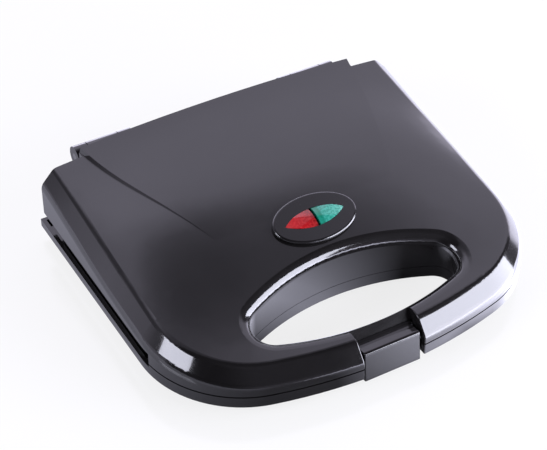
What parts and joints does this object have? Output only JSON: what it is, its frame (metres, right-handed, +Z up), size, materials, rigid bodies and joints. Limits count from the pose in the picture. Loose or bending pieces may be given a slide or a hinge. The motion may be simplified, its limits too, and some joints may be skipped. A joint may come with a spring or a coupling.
{
  "type": "sandwich maker",
  "caption": "Flat hinged sandwich maker with a bowed front handle, finger opening, latch clip, twin lamps and ridged cooking plates.",
  "frame": {"origin": "on the surface it stands on, under the middle of its overall box", "axes": "+X to the right seen from the handle, +Y from the handle towards the hinge, +Z up"},
  "size_m": [0.226, 0.21, 0.0573],
  "materials": {
    "black_gloss": "glossy moulded plastic",
    "black_satin": "satin moulded plastic",
    "nonstick": "satin non-stick coat on cast aluminium",
    "steel": "bright steel",
    "element_sheath": "heat-dulled steel sheath",
    "sheet_metal": "mill finish",
    "red_clear": "clear red plastic",
    "green_clear": "clear green plastic",
    "lamp_glass": "clear glass",
    "pale_moulding": "heat-proof moulding",
    "rubber": "matte rubber",
    "lead_sleeve": "glass-fibre sleeve"
  },
  "bodies": {
    "base": {"base_element": "element_sheath", "base_element_straps": "sheet_metal", "base_handle_cover_left": "black_satin", "base_handle_cover_right": "black_satin", "base_lead_left": "lead_sleeve", "base_lead_right": "lead_sleeve", "base_plate": "nonstick", "base_plate_screws": "steel", "base_shell": "black_gloss", "base_shield": "sheet_metal", "cord_gland": "rubber", "foot_front_left": "rubber", "foot_front_right": "rubber", "foot_rear_left": "rubber", "foot_rear_right": "rubber", "hinge_pin_left": "steel", "hinge_pin_right": "steel", "terminal_block": "pale_moulding"},
    "lid": {"green_lamp": "lamp_glass", "green_lens": "green_clear", "lamp_bezel": "black_gloss", "lamp_holder": "pale_moulding", "latch_pin": "steel", "lid_element": "element_sheath", "lid_element_straps": "sheet_metal", "lid_handle_cover_left": "black_satin", "lid_handle_cover_right": "black_satin", "lid_plate": "nonstick", "lid_plate_screws": "steel", "lid_shell": "black_gloss", "lid_shield": "sheet_metal", "red_lamp": "lamp_glass", "red_lens": "red_clear", "thermal_fuse": "lamp_glass", "thermostat": "pale_moulding", "thermostat_bracket": "sheet_metal"},
    "latch": {"latch_clip": "black_gloss"}
  },
  "joints": [
    {"name": "lid_hinge", "type": "hinge", "parent": "base", "child": "lid", "pos_m": [0, 0.0985, 0.0375], "axis": [-1, 0, 0], "range_deg": [0, 100]},
    {"name": "latch_pivot", "type": "hinge", "parent": "lid", "child": "latch", "pos_m": [0, -0.0914, 0.0176], "axis": [-1, 0, 0], "range_deg": [0, 38]}
  ]
}
